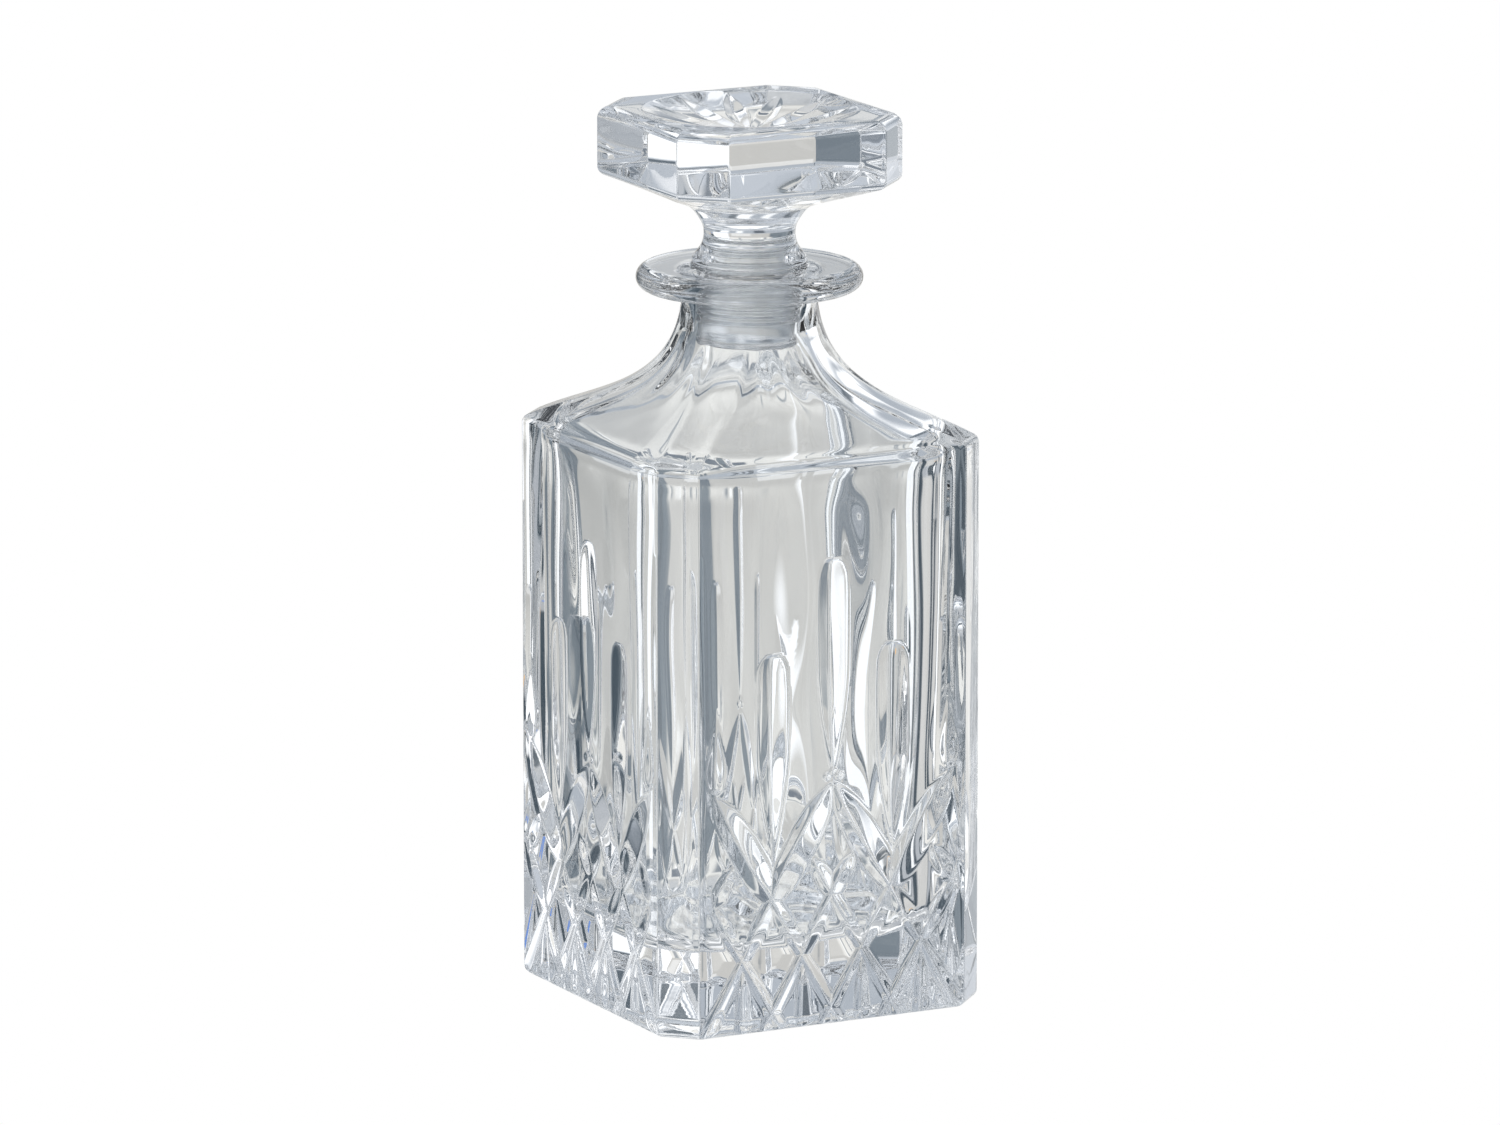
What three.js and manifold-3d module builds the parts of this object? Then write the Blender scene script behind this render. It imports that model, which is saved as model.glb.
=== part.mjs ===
// A cut crystal spirit decanter: a square bottle with a concave shoulder and a ring lip, a solid stopper
// with a square dished head, and the soft ribbed sleeve that seals the stopper's peg in the neck.
// Millimetres, +Z up. The origin is the middle of the foot, and the bottle's faces look along X and Y.
import * as THREE from "three";
import { mergeVertices } from "three/addons/utils/BufferGeometryUtils.js";
import Module from "manifold-3d";

const wasm = await Module();
wasm.setup();

// Driving dimensions ---------------------------------------------------------------------------------
const FIT_GAP = 0.3; // between pieces that touch

// Bottle, outside
const BODY_WIDTH = 93; // across the flats
const BODY_HEIGHT = 148.5; // foot to the edge where the shoulder starts
const BODY_CORNER = 8; // leg of the cut along each upright corner
const HEEL_RADIUS = 2.2;
const SHOULDER_EDGE_RADIUS = 2.5;
const SHOULDER_RISE = 34; // from the shoulder's edge to the foot of the neck
const NECK_RADIUS = 17.5;
const NECK_LENGTH = 2.5; // straight part below the ring
const RING_RADIUS = 29.3;
const RING_THICKNESS = 6.2;
const RING_UNDERCUT = 1.2; // cove where the ring meets the neck
const SEAT_DEPTH = 1.5; // of the step in the mouth that takes the sleeve's flange
const FOOT_RIM = 9; // flat border that the bottle stands on
const FOOT_RECESS = 1;

// Bottle, inside
const BORE_RADIUS = 13.9;
const BORE_DEPTH = 17; // straight bore below the mouth
const SHOULDER_WALL = 4.5;
const WALL_AT_SHOULDER = 4.6;
const WALL_AT_FLOOR = 7.2;
const INSIDE_CORNER = 13; // leg of the inside corner
const INSIDE_SQUARENESS = 0.9; // 1 is a square with cut corners, 0 is a circle
const FLOOR_THICKNESS = 20;
const FLOOR_RADIUS = 7; // where the inside walls turn into the floor

// Cut pattern, the same on each face. A cut is a V-shaped groove, given by stations along its middle
// line: the distance from its start and the half-width there. Its depth is the half-width times its
// steepness.
const PATTERN_MARGIN = 4; // from the outermost nodes to the corner cut
const ROW_STEP = 15; // height of one lattice row
const LOWEST_NODE = 4.5;
const CUT_STEEPNESS = 0.66;
const LONG_CUT = [
  [0, 0], [4, 1.8], [9, 3.4], [17, 4.1], [24, 4.1], [29, 3.4], [34.6, 2],
  [42, 2.3], [52, 1.3], [62, 1.7], [82, 2.4],
]; // from a top node to the heel
const SHORT_CUT = [[0, 0], [4, 2], [8, 2.3], [12, 1.6], [21, 2], [29.5, 1.3], [39, 1.7], [60, 2.4]];
const SPRIG_LENGTH = 12; // part of a short cut that stands above its middle node
const FAN_CUT = [[0, 0], [5, 1.1], [12, 1.8], [24, 2.8]]; // straight down from the lowest full row
const FLUTE_STEEPNESS = 0.42;
const FLUTE_SHAPE = [
  [0, 0], [0.15, 0.42], [0.32, 0.78], [0.5, 0.98], [0.75, 1], [0.9, 0.95], [0.96, 0.75], [0.99, 0.4], [1, 0],
]; // shares of the flute's length and half-width
const SPIKE_SHAPE = [[0, 0], [0.12, 0.8], [0.3, 1], [0.65, 0.55], [1, 0]];
const FLUTES = [
  { column: 0, foot: 1, length: 57.5, halfWidth: 4.3, shape: FLUTE_SHAPE },
  { column: 1, foot: -18.5, length: 53.5, halfWidth: 4.2, shape: FLUTE_SHAPE },
  { column: 1.95, foot: -1, length: 21, halfWidth: 2.4, shape: SPIKE_SHAPE },
]; // foot is measured up from the top row of nodes, and column in pitches from the face's middle

// Stopper
const HEAD_WIDTH = 65;
const HEAD_CORNER = 10;
const HEAD_THICKNESS = 18.4;
const HEAD_TOP_RADIUS = 3.4;
const HEAD_BOTTOM_RADIUS = 2.5;
const HEAD_TAPER = 4.4; // height of the sloping underside
const STEM_LENGTH = 16.9; // collar to the sloping underside
const WAIST_RADIUS = 11.8;
const STEM_TOP_RADIUS = 21; // where the stem meets the sloping underside
const COLLAR_RADIUS = 14.8;
const COLLAR_HEIGHT = 1.2;
const DISH_MARGIN = 4.6; // rim left outside the dish
const DISH_DEPTH = 5.5;
const STAR_RAYS = 12;
const STAR_RAY = [[0, 0], [0.25, 1.9], [0.5, 2.7], [0.75, 2.3], [1, 0]]; // share of its length, half-width
const STAR_STEEPNESS = 0.5;

// Sleeve
const SLEEVE_WALL = 1.2;
const SLEEVE_LENGTH = 21.5;
const SLEEVE_FLANGE_REACH = 1.1; // of the flange past the bore
const SLEEVE_FLANGE_THICKNESS = 1.8;
const SLEEVE_RIBS = 7;
const SLEEVE_RIB_HEIGHT = 0.9;
const SLEEVE_RIB_PITCH = 1.8;

// Worked-out sizes -----------------------------------------------------------------------------------
const HALF_BODY = BODY_WIDTH / 2;
const RING_UNDERSIDE = BODY_HEIGHT + SHOULDER_RISE + NECK_LENGTH;
const MOUTH_HEIGHT = RING_UNDERSIDE + RING_THICKNESS;
const RIB_RADIUS = BORE_RADIUS - FIT_GAP;
const SLEEVE_RADIUS = RIB_RADIUS - SLEEVE_RIB_HEIGHT;
const PEG_RADIUS = SLEEVE_RADIUS - SLEEVE_WALL - FIT_GAP;
const SLEEVE_FLANGE_RADIUS = BORE_RADIUS + SLEEVE_FLANGE_REACH;
const SEAT_RADIUS = SLEEVE_FLANGE_RADIUS + FIT_GAP;
const SEAT_HEIGHT = MOUTH_HEIGHT - SEAT_DEPTH;
const FLANGE_BOTTOM = SEAT_HEIGHT + FIT_GAP;
const FLANGE_TOP = FLANGE_BOTTOM + SLEEVE_FLANGE_THICKNESS;
const SLEEVE_BOTTOM = FLANGE_TOP - SLEEVE_LENGTH;
const PEG_BOTTOM = SLEEVE_BOTTOM + SLEEVE_WALL + FIT_GAP;
const COLLAR_BOTTOM = FLANGE_TOP + FIT_GAP;
const HEAD_UNDERSIDE = COLLAR_BOTTOM + STEM_LENGTH;
const HEAD_SIDE_BOTTOM = HEAD_UNDERSIDE + HEAD_TAPER;
const HEAD_TOP = HEAD_SIDE_BOTTOM + HEAD_THICKNESS;

// Sections: rings of points that are a circle at squareness 0 and a square with cut corners at 1 -----
const SIDE_STEPS = 2; // points along half a flat side
const CORNER_STEPS = 4; // points across a corner
const QUARTER_STEPS = 2 * SIDE_STEPS + CORNER_STEPS;
const UPRIGHT = new THREE.Vector3(0, 0, 1);

// A point of the first quarter of a unit section, with its flat side on +X.
function quarterPoint(step, corner) {
  const flatEnd = 1 - corner;
  if (step <= SIDE_STEPS) return [1, (flatEnd * step) / SIDE_STEPS];
  if (step < SIDE_STEPS + CORNER_STEPS) {
    const across = (step - SIDE_STEPS) / CORNER_STEPS;
    return [1 - corner * across, flatEnd + corner * across];
  }
  return [(flatEnd * (QUARTER_STEPS - step)) / SIDE_STEPS, 1];
}

function section(half, corner, squareness, z) {
  const points = [];
  for (let quarter = 0; quarter < 4; quarter++) {
    for (let step = 0; step < QUARTER_STEPS; step++) {
      const [squareX, squareY] = quarterPoint(step, corner / half);
      const angle = ((step / QUARTER_STEPS) * Math.PI) / 2;
      const point = new THREE.Vector3(
        half * THREE.MathUtils.lerp(Math.cos(angle), squareX, squareness),
        half * THREE.MathUtils.lerp(Math.sin(angle), squareY, squareness),
        z,
      );
      points.push(point.applyAxisAngle(UPRIGHT, (quarter * Math.PI) / 2));
    }
  }
  return points;
}

const circle = (radius, z) => section(radius, radius / 2, 0, z);

// A closed surface through rings of equal length, with a flat cap on the first and the last one.
// The rings run up the outside, so that the faces point out.
function loft(rings) {
  const count = rings[0].length;
  const centres = [rings[0], rings.at(-1)].map((ring) =>
    ring.reduce((sum, point) => sum.add(point), new THREE.Vector3()).divideScalar(count),
  );
  const points = [...rings.flat(), ...centres];
  const first = rings.length * count;
  const index = [];
  for (let k = 0; k < count; k++) {
    const next = (k + 1) % count;
    for (let row = 0; row + 1 < rings.length; row++) {
      const low = row * count;
      const high = low + count;
      index.push(low + k, low + next, high + next, low + k, high + next, high + k);
    }
    const top = first - count;
    index.push(first, next, k, first + 1, top + k, top + next);
  }
  return new THREE.BufferGeometry().setFromPoints(points).setIndex(index);
}

function solidOf(geometry) {
  const bare = geometry.clone();
  bare.deleteAttribute("normal");
  bare.deleteAttribute("uv");
  const merged = mergeVertices(bare, 1e-3);
  return new wasm.Manifold(
    new wasm.Mesh({
      numProp: 3,
      vertProperties: merged.attributes.position.array,
      triVerts: new Uint32Array(merged.index.array),
    }),
  );
}

function geometryOf(solid) {
  const mesh = solid.getMesh();
  return new THREE.BufferGeometry()
    .setAttribute("position", new THREE.BufferAttribute(mesh.vertProperties, 3))
    .setIndex(new THREE.BufferAttribute(mesh.triVerts, 1));
}

// Points of a fillet that turns from one direction to another about a centre, in radius and height.
function fillet(centreR, centreZ, radius, fromDegrees, toDegrees, steps) {
  return Array.from({ length: steps + 1 }, (_, k) => {
    const angle = THREE.MathUtils.degToRad(THREE.MathUtils.lerp(fromDegrees, toDegrees, k / steps));
    return [centreR + radius * Math.cos(angle), centreZ + radius * Math.sin(angle)];
  });
}

// Cutters ----------------------------------------------------------------------------------------------
const RUN_OUT = 1; // how far a cutter stands above the surface

// A cutter in its own frame: it runs along +X, cuts down into -Z, and the surface that it cuts is at 0,
// or at the height that bed gives for a distance along the cut.
function grooveCutter(stations, steepness, bed = () => 0) {
  const rings = stations.map(([x, halfWidth]) => {
    const reach = halfWidth + RUN_OUT / steepness;
    const surface = bed(x);
    return [
      new THREE.Vector3(x, reach, surface + RUN_OUT),
      new THREE.Vector3(x, -reach, surface + RUN_OUT),
      new THREE.Vector3(x, 0, surface - halfWidth * steepness),
    ];
  });
  return loft(rings);
}

// Bottle -----------------------------------------------------------------------------------------------
// The shoulder's half-width against height, from the body's edge (t = 0) to the foot of the neck (t = 1).
const shoulderCurve = new THREE.CubicBezierCurve(
  new THREE.Vector2(HALF_BODY, BODY_HEIGHT),
  new THREE.Vector2(THREE.MathUtils.lerp(HALF_BODY, NECK_RADIUS, 0.34), BODY_HEIGHT + 0.22 * SHOULDER_RISE),
  new THREE.Vector2(NECK_RADIUS, BODY_HEIGHT + 0.3 * SHOULDER_RISE),
  new THREE.Vector2(NECK_RADIUS, BODY_HEIGHT + SHOULDER_RISE),
);
const SHOULDER_STEPS = 10;
const shoulderSquareness = (t) => 1 - t ** 1.6;

function bottleOutside() {
  const foot = HALF_BODY - HEEL_RADIUS - FOOT_RIM;
  const heel = fillet(HALF_BODY - HEEL_RADIUS, HEEL_RADIUS, HEEL_RADIUS, -90, 0, 2);
  const edge = fillet(
    HALF_BODY - SHOULDER_EDGE_RADIUS, BODY_HEIGHT - SHOULDER_EDGE_RADIUS, SHOULDER_EDGE_RADIUS, 0, 55, 2,
  );
  const rings = [circle(foot - FOOT_RECESS, FOOT_RECESS), circle(foot, 0)];
  for (const [half, z] of [...heel, ...edge]) rings.push(section(half, cornerAt(half), 1, z));
  const edgeTop = edge.at(-1)[1];
  for (let k = 1; k <= SHOULDER_STEPS; k++) {
    const t = k / SHOULDER_STEPS;
    const { x: half, y: z } = shoulderCurve.getPoint(t);
    if (z > edgeTop) rings.push(section(half, cornerAt(half), shoulderSquareness(t), z));
  }
  return rings;
}

// The corner cut keeps its share of the section as the section shrinks over the heel and the shoulder.
const cornerAt = (half) => (BODY_CORNER * half) / HALF_BODY;

function bottleLip() {
  const edgeRadius = RING_THICKNESS / 2;
  const edgeCentre = RING_UNDERSIDE + edgeRadius;
  const profile = [
    [NECK_RADIUS, RING_UNDERSIDE - RING_UNDERCUT],
    [NECK_RADIUS + RING_UNDERCUT, RING_UNDERSIDE],
    ...fillet(RING_RADIUS - edgeRadius, edgeCentre, edgeRadius, -90, 90, 6),
    [SEAT_RADIUS, MOUTH_HEIGHT],
    [SEAT_RADIUS, SEAT_HEIGHT],
    [BORE_RADIUS, SEAT_HEIGHT],
  ];
  return profile.map(([radius, z]) => circle(radius, z));
}

function bottleInside() {
  const rings = [circle(BORE_RADIUS, MOUTH_HEIGHT - BORE_DEPTH)];
  const boreFoot = MOUTH_HEIGHT - BORE_DEPTH;
  for (let k = SHOULDER_STEPS - 2; k >= 1; k--) {
    const t = k / SHOULDER_STEPS;
    const point = shoulderCurve.getPoint(t);
    const along = shoulderCurve.getTangent(t);
    const half = point.x - SHOULDER_WALL * along.y;
    const z = point.y + SHOULDER_WALL * along.x;
    if (z < boreFoot && half > BORE_RADIUS) {
      rings.push(section(half, insideCornerAt(half), INSIDE_SQUARENESS * shoulderSquareness(t), z));
    }
  }
  const top = HALF_BODY - WALL_AT_SHOULDER;
  const bottom = HALF_BODY - WALL_AT_FLOOR;
  rings.push(section(top, INSIDE_CORNER, INSIDE_SQUARENESS, BODY_HEIGHT - SHOULDER_WALL - SHOULDER_EDGE_RADIUS));
  const floor = fillet(bottom - FLOOR_RADIUS, FLOOR_THICKNESS + FLOOR_RADIUS, FLOOR_RADIUS, 0, -90, 4);
  for (const [half, z] of floor) rings.push(section(half, insideCornerAt(half), INSIDE_SQUARENESS, z));
  return rings;
}

const insideCornerAt = (half) => (INSIDE_CORNER * half) / HALF_BODY;

// The cut pattern of one face, as cutters on the face that looks along -Y.
// Points on the face are given as u across and v up.
function faceCutters() {
  const pitch = (HALF_BODY - BODY_CORNER - PATTERN_MARGIN) / 2;
  const row = (n) => LOWEST_NODE + n * ROW_STEP;
  const lean = pitch / Math.hypot(pitch, 2 * ROW_STEP);
  const rise = Math.sqrt(1 - lean ** 2);
  const cutters = [];
  const addCut = (u, v, du, dv, stations, steepness = CUT_STEEPNESS) =>
    cutters.push(onFrontFace(u, v, du, dv, grooveCutter(stations, steepness)));

  for (const side of [-1, 1]) {
    // From the middle top node outwards, and from the outer top node inwards, both down to the heel.
    addCut(0, row(4), side * lean, -rise, LONG_CUT);
    addCut(2 * side * pitch, row(4), -side * lean, -rise, LONG_CUT);
    // Through the middle node, with a sprig above it, and from the outer node with its sprig.
    addCut(-side * lean * SPRIG_LENGTH, row(2) + rise * SPRIG_LENGTH, side * lean, -rise, SHORT_CUT);
    const sprig = SHORT_CUT.filter(([x]) => x <= SPRIG_LENGTH);
    const rest = SHORT_CUT.filter(([x]) => x >= SPRIG_LENGTH).map(([x, half]) => [x - SPRIG_LENGTH, half]);
    const outer = 2 * side * pitch;
    addCut(outer, row(2), -side * lean, -rise, [[0, 0], [1.5, 1.2], ...rest.slice(1)]);
    addCut(outer - side * lean * SPRIG_LENGTH, row(2) + rise * SPRIG_LENGTH, side * lean, -rise, [
      ...sprig.slice(0, -1),
      [SPRIG_LENGTH, 0],
    ]);
    // The middle ray of each fan.
    for (const column of [0.5, 1.5]) addCut(side * column * pitch, row(1), 0, -1, FAN_CUT);
  }
  for (const { column, foot, length, halfWidth, shape } of FLUTES) {
    const stations = shape.map(([t, share]) => [t * length, share * halfWidth]);
    for (const side of column ? [-1, 1] : [1]) {
      addCut(side * column * pitch, row(4) + foot, 0, 1, stations, FLUTE_STEEPNESS);
    }
  }
  return cutters;
}

// Places a cutter on the face that looks along -Y, starting at (u, v) and running towards (du, dv).
function onFrontFace(u, v, du, dv, cutter) {
  const x = new THREE.Vector3(du, 0, dv).normalize();
  const z = new THREE.Vector3(0, -1, 0);
  const y = new THREE.Vector3().crossVectors(z, x);
  return cutter.applyMatrix4(new THREE.Matrix4().makeBasis(x, y, z).setPosition(u, -HALF_BODY, v));
}

function makeBottle() {
  const cutters = faceCutters();
  let solid = solidOf(loft([...bottleOutside(), ...bottleLip(), ...bottleInside()]));
  for (let face = 0; face < 4; face++) {
    for (const cutter of cutters) {
      solid = solid.subtract(solidOf(cutter.clone().rotateZ((face * Math.PI) / 2)));
    }
  }
  return geometryOf(solid);
}

// Stopper ----------------------------------------------------------------------------------------------
// The dish is part of a sphere, and this is its depth at a distance from the axis.
const DISH_RADIUS = HEAD_WIDTH / 2 - DISH_MARGIN;
const DISH_SPHERE = (DISH_RADIUS ** 2 + DISH_DEPTH ** 2) / (2 * DISH_DEPTH);
const dishDepth = (r) => Math.sqrt(DISH_SPHERE ** 2 - r ** 2) - (DISH_SPHERE - DISH_DEPTH);

function makeStopper() {
  const halfHead = HEAD_WIDTH / 2;
  const stemTop = HEAD_UNDERSIDE;
  const collarTop = COLLAR_BOTTOM + COLLAR_HEIGHT;
  const stem = new THREE.SplineCurve([
    new THREE.Vector2(COLLAR_RADIUS, collarTop),
    new THREE.Vector2(WAIST_RADIUS + 0.7, THREE.MathUtils.lerp(collarTop, stemTop, 0.2)),
    new THREE.Vector2(WAIST_RADIUS, THREE.MathUtils.lerp(collarTop, stemTop, 0.4)),
    new THREE.Vector2(WAIST_RADIUS + 0.8, THREE.MathUtils.lerp(collarTop, stemTop, 0.6)),
    new THREE.Vector2(WAIST_RADIUS + 4, THREE.MathUtils.lerp(collarTop, stemTop, 0.86)),
    new THREE.Vector2(STEM_TOP_RADIUS, stemTop),
  ]);
  const stemRings = stem.getPoints(9).map(({ x, y }) => circle(x, y));

  const low = HEAD_BOTTOM_RADIUS;
  const high = HEAD_TOP_RADIUS;
  const sideProfile = [
    ...fillet(halfHead - low, HEAD_SIDE_BOTTOM + low, low, -70, 0, 2),
    ...fillet(halfHead - high, HEAD_TOP - high, high, 0, 90, 3),
  ];
  const headRings = sideProfile.map(([half, z]) => section(half, (HEAD_CORNER * half) / halfHead, 1, z));
  const dishRings = [1, 0.75, 0.5, 0.25].map((share) => {
    const r = DISH_RADIUS * share;
    return circle(r, HEAD_TOP - dishDepth(r));
  });
  const blank = loft([
    circle(PEG_RADIUS - 1, PEG_BOTTOM),
    circle(PEG_RADIUS, PEG_BOTTOM + 1),
    circle(PEG_RADIUS, COLLAR_BOTTOM),
    circle(COLLAR_RADIUS, COLLAR_BOTTOM),
    ...stemRings,
    ...headRings,
    ...dishRings,
  ]);
  return geometryOf(starCutters().reduce((solid, cut) => solid.subtract(solidOf(cut)), solidOf(blank)));
}

// Leaf-shaped cuts that run out from the middle of the dish like the rays of a star.
function starCutters() {
  const start = 1.5;
  const length = DISH_RADIUS - start - 1;
  const stations = STAR_RAY.map(([t, halfWidth]) => [t * length, halfWidth]);
  const bed = (x) => -dishDepth(start + x);
  const ray = grooveCutter(stations, STAR_STEEPNESS, bed).translate(start, 0, HEAD_TOP);
  return Array.from({ length: STAR_RAYS }, (_, k) => ray.clone().rotateZ((2 * Math.PI * (k + 0.5)) / STAR_RAYS));
}

// Sleeve -----------------------------------------------------------------------------------------------
const SLEEVE_SEGMENTS = 32;

function makeSleeve() {
  const inner = PEG_RADIUS + FIT_GAP;
  const outer = SLEEVE_RADIUS;
  const profile = [
    [0, SLEEVE_BOTTOM],
    [outer - 1.2, SLEEVE_BOTTOM],
    [outer, SLEEVE_BOTTOM + 1.2],
  ];
  const halfRib = 0.4 * SLEEVE_RIB_PITCH;
  for (let rib = SLEEVE_RIBS; rib >= 1; rib--) {
    const z = FLANGE_BOTTOM - rib * SLEEVE_RIB_PITCH;
    profile.push([outer, z - halfRib], [RIB_RADIUS, z], [outer, z + halfRib]);
  }
  profile.push(
    [outer, FLANGE_BOTTOM],
    [SLEEVE_FLANGE_RADIUS, FLANGE_BOTTOM],
    [SLEEVE_FLANGE_RADIUS, FLANGE_TOP],
    [inner, FLANGE_TOP],
    [inner, SLEEVE_BOTTOM + SLEEVE_WALL],
    [0, SLEEVE_BOTTOM + SLEEVE_WALL],
  );
  const points = profile.map(([radius, z]) => new THREE.Vector2(radius, z));
  return new THREE.LatheGeometry(points, SLEEVE_SEGMENTS).rotateX(Math.PI / 2);
}

// Assembly ---------------------------------------------------------------------------------------------
const crystal = new THREE.MeshStandardMaterial({ color: 0xe6eaec, roughness: 0.03, metalness: 0 });
const softPlastic = new THREE.MeshStandardMaterial({ color: 0xd5dade, roughness: 0.45, metalness: 0 });

function part(name, geometry, material) {
  const mesh = new THREE.Mesh(geometry, material);
  mesh.name = name;
  return mesh;
}

const decanter = new THREE.Group();
decanter.add(
  part("crystal_bottle", makeBottle(), crystal),
  part("crystal_stopper", makeStopper(), crystal),
  part("stopper_sleeve", makeSleeve(), softPlastic),
);

export default decanter;
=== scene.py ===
"""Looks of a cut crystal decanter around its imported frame: fine glass surfaces, a ribbed sleeve and a studio."""

import math

import bpy
import numpy as np
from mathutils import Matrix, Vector


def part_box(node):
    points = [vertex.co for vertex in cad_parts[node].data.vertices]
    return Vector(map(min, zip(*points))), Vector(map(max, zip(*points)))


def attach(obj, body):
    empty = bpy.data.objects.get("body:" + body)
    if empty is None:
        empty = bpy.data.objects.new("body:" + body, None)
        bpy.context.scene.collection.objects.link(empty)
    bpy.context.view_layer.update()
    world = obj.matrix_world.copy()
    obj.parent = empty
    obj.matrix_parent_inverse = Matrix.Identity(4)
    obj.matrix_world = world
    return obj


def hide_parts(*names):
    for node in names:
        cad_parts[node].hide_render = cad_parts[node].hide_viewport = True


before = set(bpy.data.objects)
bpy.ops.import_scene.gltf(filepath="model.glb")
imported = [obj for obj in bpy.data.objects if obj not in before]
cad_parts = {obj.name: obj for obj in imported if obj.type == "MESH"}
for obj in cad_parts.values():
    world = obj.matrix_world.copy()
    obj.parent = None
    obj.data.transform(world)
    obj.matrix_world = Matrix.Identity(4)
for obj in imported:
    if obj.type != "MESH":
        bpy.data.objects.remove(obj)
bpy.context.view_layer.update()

MM = 0.001
_, BOTTLE_HIGH = (np.array(c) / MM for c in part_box("crystal_bottle"))
STOPPER_LOW, STOPPER_HIGH = (np.array(c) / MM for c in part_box("crystal_stopper"))
SLEEVE_LOW, SLEEVE_HIGH = (np.array(c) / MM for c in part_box("stopper_sleeve"))

# Sizes in millimetres, as the frame was made. -------------------------------------------------------
GAP = 0.3
HALF = BOTTLE_HIGH[0]
BODY_TOP = 148.5
CORNER = 8.0
HEEL = 2.2
SHOULDER_EDGE = 2.5
RISE = 34.0
NECK = 17.5
RING = 29.3
RING_THICK = 6.2
COVE = 1.2
MOUTH = BOTTLE_HIGH[2]
SEAT_R = 15.3
SEAT_Z = MOUTH - 1.5
BORE = 13.9
BORE_FOOT = MOUTH - 17.0
# How far the shoulder's curve first comes in and up, as shares of its whole width and rise.
SHOULDER_IN, SHOULDER_UP = 0.34, 0.22
# The inside: walls at the shoulder, at the top and at the foot of the body, floor, and its rounded edges.
WALL_SHOULDER, WALL_TOP, WALL_FOOT = 4.5, 4.6, 7.2
FLOOR_Z = 20.0
INSIDE_HEEL = 7.0
INSIDE_CORNER = 13.0
INSIDE_EDGE = 24.0
INSIDE_SQUARENESS = 0.9


def pchip(xs, ys, x):
    """Smooth interpolation that never overshoots, with straight lines past both ends."""
    xs, ys = np.asarray(xs, float), np.asarray(ys, float)
    h, d = np.diff(xs), np.diff(ys) / np.diff(xs)
    m = np.zeros(len(xs))
    w1, w2 = 2 * h[1:] + h[:-1], h[1:] + 2 * h[:-1]
    same = d[:-1] * d[1:] > 0
    safe = np.where(same, w1 / np.where(same, d[:-1], 1) + w2 / np.where(same, d[1:], 1), 1)
    m[1:-1] = np.where(same, (w1 + w2) / safe, 0)
    m[0], m[-1] = d[0], d[-1]
    k = np.clip(np.searchsorted(xs, x) - 1, 0, len(h) - 1)
    t = (x - xs[k]) / h[k]
    t2, t3 = t * t, t * t * t
    inside = ((2 * t3 - 3 * t2 + 1) * ys[k] + (t3 - 2 * t2 + t) * h[k] * m[k]
              + (3 * t2 - 2 * t3) * ys[k + 1] + (t3 - t2) * h[k] * m[k + 1])
    below, above = ys[0] + (x - xs[0]) * m[0], ys[-1] + (x - xs[-1]) * m[-1]
    return np.where(x < xs[0], below, np.where(x > xs[-1], above, inside))


def smooth_max(a, b, k):
    h = np.maximum(k - np.abs(a - b), 0) / k
    return np.maximum(a, b) + h * h * k / 4


def smoothstep(t):
    t = np.clip(t, 0, 1)
    return t * t * (3 - 2 * t)


def quarter_turn(k):
    """Cosine and sine of k right angles."""
    return round(math.cos(k * math.pi / 2)), round(math.sin(k * math.pi / 2))


# Sections: closed rings of columns that blend a circle into a square with cut corners ----------------
class Columns:
    def __init__(self, flat, arc, chamfer):
        """flat columns on each half side, arc on each rounded edge, chamfer across each corner cut."""
        self.flat, self.arc, self.chamfer = flat, arc, chamfer
        self.per_quarter = 2 * flat + 2 * arc + chamfer
        self.count = 4 * self.per_quarter

    def every(self, n):
        return Columns(self.flat // n, self.arc // n, self.chamfer // n)

    def ring(self, half, corner, squareness, z, edge=0.8):
        """The ring's points, counter-clockwise from +X. An edge radius too large for the corner cut is capped."""
        slope = math.tan(math.pi / 8)
        edge = min(edge, 0.96 * corner / (math.sqrt(2) * slope))
        end = half - corner - edge * slope
        along = np.arange(self.flat) / self.flat
        phi = np.arange(self.arc) / self.arc * math.pi / 4
        across = np.arange(self.chamfer) / self.chamfer
        p = np.array([half - edge + edge * math.cos(math.pi / 4), end + edge * math.sin(math.pi / 4)])
        q = p[::-1]
        pieces = [(np.full(self.flat, half), along * end),
                  (half - edge + edge * np.cos(phi), end + edge * np.sin(phi)),
                  (p[0] + (q[0] - p[0]) * across, p[1] + (q[1] - p[1]) * across),
                  (end + edge * np.cos(math.pi / 4 + phi), half - edge + edge * np.sin(math.pi / 4 + phi)),
                  ((1 - along) * end, np.full(self.flat, half))]
        x, y = (np.concatenate(parts) for parts in zip(*pieces))
        tau = self.tau()
        cx, cy = half * np.cos(tau * math.pi / 2), half * np.sin(tau * math.pi / 2)
        x, y = cx + (x - cx) * squareness, cy + (y - cy) * squareness
        out = []
        for k in range(4):
            c, s = quarter_turn(k)
            out.append(np.stack([c * x - s * y, s * x + c * y, np.full(len(x), float(z))], 1))
        return np.concatenate(out)

    def tau(self):
        """Each column's share of a quarter turn on the circle that the ring blends into."""
        mid = 2 * self.arc + self.chamfer
        a = np.arange(self.flat) / self.flat * 0.25
        b = 0.25 + np.arange(mid) / mid * 0.5
        return np.concatenate([a, b, 0.75 + a])

    def circle(self, radius, z):
        return self.ring(radius, radius / 2, 0.0, z)


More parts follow.
